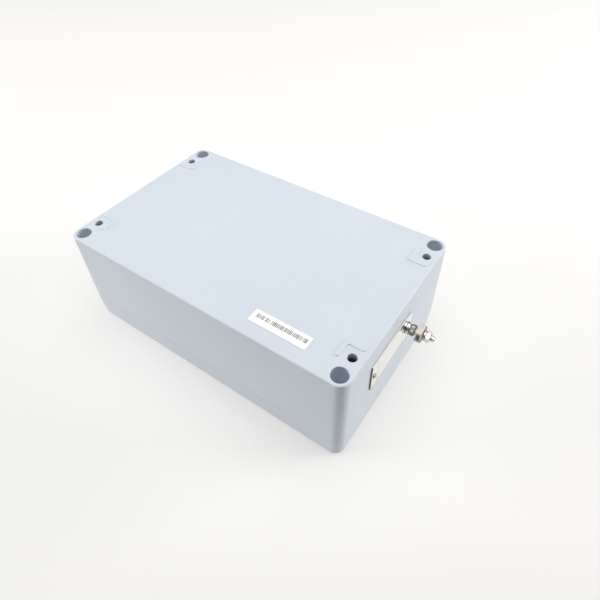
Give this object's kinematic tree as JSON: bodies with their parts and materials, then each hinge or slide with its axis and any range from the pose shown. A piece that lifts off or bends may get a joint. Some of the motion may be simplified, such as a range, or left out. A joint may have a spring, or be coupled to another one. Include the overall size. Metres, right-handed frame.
{
  "type": "solar charge controller",
  "caption": "Wall box charge controller in painted die-cast aluminium, lying on its lid, with an earth stud, a plain nameplate, cable glands and a controller board inside.",
  "frame": {"origin": "centre of the lid's outer face, which the controller rests on", "axes": "+X towards the end with the earth stud, +Y away from the side nearest the part label, +Z from the lid to the face that goes against the wall"},
  "size_m": [0.3025, 0.16, 0.0908],
  "materials": {
    "body_paint": "satin",
    "gasket_rubber": "matte",
    "stainless_steel": "satin",
    "dark_steel": "satin",
    "polished_plate": "polished",
    "label_paper": "matte",
    "gland_polyamide": "matte",
    "board_laminate": "satin",
    "black_plastic": "matte",
    "fuse_plastic": "gloss",
    "inductor_copper": "satin",
    "capacitor_sleeve": "gloss",
    "bare_aluminium": "satin",
    "button_plastic": "gloss"
  },
  "bodies": {
    "lid": {"lid": "body_paint", "lid_gasket": "gasket_rubber"},
    "base": {"base_housing": "body_paint", "nameplate": "polished_plate", "nameplate_rivet": "stainless_steel", "part_label": "label_paper", "earth_stud": "stainless_steel", "earth_plain_washer": "stainless_steel", "earth_toothed_washer": "stainless_steel", "earth_lock_nut": "dark_steel", "inner_earth_washer": "stainless_steel", "inner_earth_nut": "stainless_steel", "gland_body_1": "gland_polyamide", "gland_body_2": "gland_polyamide", "gland_body_3": "gland_polyamide", "gland_locknut_1": "gland_polyamide", "gland_locknut_2": "gland_polyamide", "gland_locknut_3": "gland_polyamide", "circuit_board": "board_laminate", "board_screw_1": "stainless_steel", "board_screw_2": "stainless_steel", "board_screw_3": "stainless_steel", "board_screw_4": "stainless_steel", "terminal_block": "black_plastic", "fuse_holder": "black_plastic", "power_inductor": "inductor_copper", "capacitor_1": "capacitor_sleeve", "capacitor_2": "capacitor_sleeve", "capacitor_3": "capacitor_sleeve", "heat_spreader": "bare_aluminium", "transistor_1": "black_plastic", "transistor_2": "black_plastic", "transistor_3": "black_plastic", "control_chip": "black_plastic", "test_switch": "black_plastic"},
    "lid_screw_seal_1": {"lid_screw_seal_1": "gasket_rubber"},
    "lid_screw_1": {"lid_screw_1": "stainless_steel"},
    "lid_screw_seal_2": {"lid_screw_seal_2": "gasket_rubber"},
    "lid_screw_2": {"lid_screw_2": "stainless_steel"},
    "lid_screw_seal_3": {"lid_screw_seal_3": "gasket_rubber"},
    "lid_screw_3": {"lid_screw_3": "stainless_steel"},
    "lid_screw_seal_4": {"lid_screw_seal_4": "gasket_rubber"},
    "lid_screw_4": {"lid_screw_4": "stainless_steel"},
    "earth_saddle": {"earth_clamp_saddle": "stainless_steel"},
    "earth_spring_washer": {"earth_spring_washer": "stainless_steel"},
    "earth_clamp_nut": {"earth_clamp_nut": "stainless_steel"},
    "gland_seal_1": {"gland_seal_1": "gasket_rubber"},
    "gland_dome_nut_1": {"gland_dome_nut_1": "gland_polyamide"},
    "gland_seal_2": {"gland_seal_2": "gasket_rubber"},
    "gland_dome_nut_2": {"gland_dome_nut_2": "gland_polyamide"},
    "gland_seal_3": {"gland_seal_3": "gasket_rubber"},
    "gland_dome_nut_3": {"gland_dome_nut_3": "gland_polyamide"},
    "terminal_screw_1": {"terminal_screw_1": "stainless_steel"},
    "terminal_screw_2": {"terminal_screw_2": "stainless_steel"},
    "terminal_screw_3": {"terminal_screw_3": "stainless_steel"},
    "terminal_screw_4": {"terminal_screw_4": "stainless_steel"},
    "terminal_screw_5": {"terminal_screw_5": "stainless_steel"},
    "terminal_screw_6": {"terminal_screw_6": "stainless_steel"},
    "fuse": {"blade_fuse": "fuse_plastic"},
    "test_button": {"test_button": "button_plastic"}
  },
  "joints": [
    {"name": "base_lift", "type": "slide", "parent": "lid", "child": "base", "axis": [0, 0, 1], "range_m": [0, 0.12]},
    {"name": "lid_screw_1_travel", "type": "slide", "parent": "lid", "child": "lid_screw_seal_1", "axis": [0, 0, -1], "range_m": [0, 0.007]},
    {"name": "lid_screw_1_turn", "type": "hinge", "parent": "lid_screw_seal_1", "child": "lid_screw_1", "pos_m": [0.12, 0.07, 0], "axis": [0, 0, -1], "range_deg": [0, 2520]},
    {"name": "lid_screw_2_travel", "type": "slide", "parent": "lid", "child": "lid_screw_seal_2", "axis": [0, 0, -1], "range_m": [0, 0.007]},
    {"name": "lid_screw_2_turn", "type": "hinge", "parent": "lid_screw_seal_2", "child": "lid_screw_2", "pos_m": [-0.12, 0.07, 0], "axis": [0, 0, -1], "range_deg": [0, 2520]},
    {"name": "lid_screw_3_travel", "type": "slide", "parent": "lid", "child": "lid_screw_seal_3", "axis": [0, 0, -1], "range_m": [0, 0.007]},
    {"name": "lid_screw_3_turn", "type": "hinge", "parent": "lid_screw_seal_3", "child": "lid_screw_3", "pos_m": [-0.12, -0.07, 0], "axis": [0, 0, -1], "range_deg": [0, 2520]},
    {"name": "lid_screw_4_travel", "type": "slide", "parent": "lid", "child": "lid_screw_seal_4", "axis": [0, 0, -1], "range_m": [0, 0.007]},
    {"name": "lid_screw_4_turn", "type": "hinge", "parent": "lid_screw_seal_4", "child": "lid_screw_4", "pos_m": [0.12, -0.07, 0], "axis": [0, 0, -1], "range_deg": [0, 2520]},
    {"name": "earth_saddle_travel", "type": "slide", "parent": "base", "child": "earth_saddle", "axis": [0.9997, 0, 0.0227], "range_m": [0, 0.0014]},
    {"name": "earth_nut_travel", "type": "slide", "parent": "base", "child": "earth_spring_washer", "axis": [0.9997, 0, 0.0227], "range_m": [0, 0.0028]},
    {"name": "earth_nut_turn", "type": "hinge", "parent": "earth_spring_washer", "child": "earth_clamp_nut", "pos_m": [0.12915, 0.0125, 0.0565], "axis": [0.9997, 0, 0.0227], "range_deg": [0, 1260]},
    {"name": "gland_1_travel", "type": "slide", "parent": "base", "child": "gland_seal_1", "axis": [-0.9997, 0, 0.0227], "range_m": [0, 0.003]},
    {"name": "gland_1_turn", "type": "hinge", "parent": "gland_seal_1", "child": "gland_dome_nut_1", "pos_m": [-0.12939, -0.028, 0.046], "axis": [-0.9997, 0, 0.0227], "range_deg": [0, 720]},
    {"name": "gland_2_travel", "type": "slide", "parent": "base", "child": "gland_seal_2", "axis": [-0.9997, 0, 0.0227], "range_m": [0, 0.003]},
    {"name": "gland_2_turn", "type": "hinge", "parent": "gland_seal_2", "child": "gland_dome_nut_2", "pos_m": [-0.12939, 0, 0.046], "axis": [-0.9997, 0, 0.0227], "range_deg": [0, 720]},
    {"name": "gland_3_travel", "type": "slide", "parent": "base", "child": "gland_seal_3", "axis": [-0.9997, 0, 0.0227], "range_m": [0, 0.003]},
    {"name": "gland_3_turn", "type": "hinge", "parent": "gland_seal_3", "child": "gland_dome_nut_3", "pos_m": [-0.12939, 0.028, 0.046], "axis": [-0.9997, 0, 0.0227], "range_deg": [0, 720]},
    {"name": "terminal_screw_1_turn", "type": "hinge", "parent": "base", "child": "terminal_screw_1", "pos_m": [-0.084, 0.02375, 0.06], "axis": [0, 0, -1], "range_deg": [0, 1080]},
    {"name": "terminal_screw_2_turn", "type": "hinge", "parent": "base", "child": "terminal_screw_2", "pos_m": [-0.084, 0.01425, 0.06], "axis": [0, 0, -1], "range_deg": [0, 1080]},
    {"name": "terminal_screw_3_turn", "type": "hinge", "parent": "base", "child": "terminal_screw_3", "pos_m": [-0.084, 0.00475, 0.06], "axis": [0, 0, -1], "range_deg": [0, 1080]},
    {"name": "terminal_screw_4_turn", "type": "hinge", "parent": "base", "child": "terminal_screw_4", "pos_m": [-0.084, -0.00475, 0.06], "axis": [0, 0, -1], "range_deg": [0, 1080]},
    {"name": "terminal_screw_5_turn", "type": "hinge", "parent": "base", "child": "terminal_screw_5", "pos_m": [-0.084, -0.01425, 0.06], "axis": [0, 0, -1], "range_deg": [0, 1080]},
    {"name": "terminal_screw_6_turn", "type": "hinge", "parent": "base", "child": "terminal_screw_6", "pos_m": [-0.084, -0.02375, 0.06], "axis": [0, 0, -1], "range_deg": [0, 1080]},
    {"name": "fuse_pull", "type": "slide", "parent": "base", "child": "fuse", "axis": [0, 0, -1], "range_m": [0, 0.012]},
    {"name": "button_press", "type": "slide", "parent": "base", "child": "test_button", "axis": [0, 0, 1], "range_m": [0, 0.0004], "stiffness_N_per_m": 400}
  ],
  "couplings": [
    {"joint": "lid_screw_1_turn", "follows": "lid_screw_1_travel", "rad_per_m": 6283.2},
    {"joint": "lid_screw_2_turn", "follows": "lid_screw_2_travel", "rad_per_m": 6283.2},
    {"joint": "lid_screw_3_turn", "follows": "lid_screw_3_travel", "rad_per_m": 6283.2},
    {"joint": "lid_screw_4_turn", "follows": "lid_screw_4_travel", "rad_per_m": 6283.2},
    {"joint": "earth_saddle_travel", "follows": "earth_nut_travel", "ratio": 0.5},
    {"joint": "earth_nut_turn", "follows": "earth_nut_travel", "rad_per_m": 7854},
    {"joint": "gland_1_turn", "follows": "gland_1_travel", "rad_per_m": 4188.8},
    {"joint": "gland_2_turn", "follows": "gland_2_travel", "rad_per_m": 4188.8},
    {"joint": "gland_3_turn", "follows": "gland_3_travel", "rad_per_m": 4188.8}
  ]
}
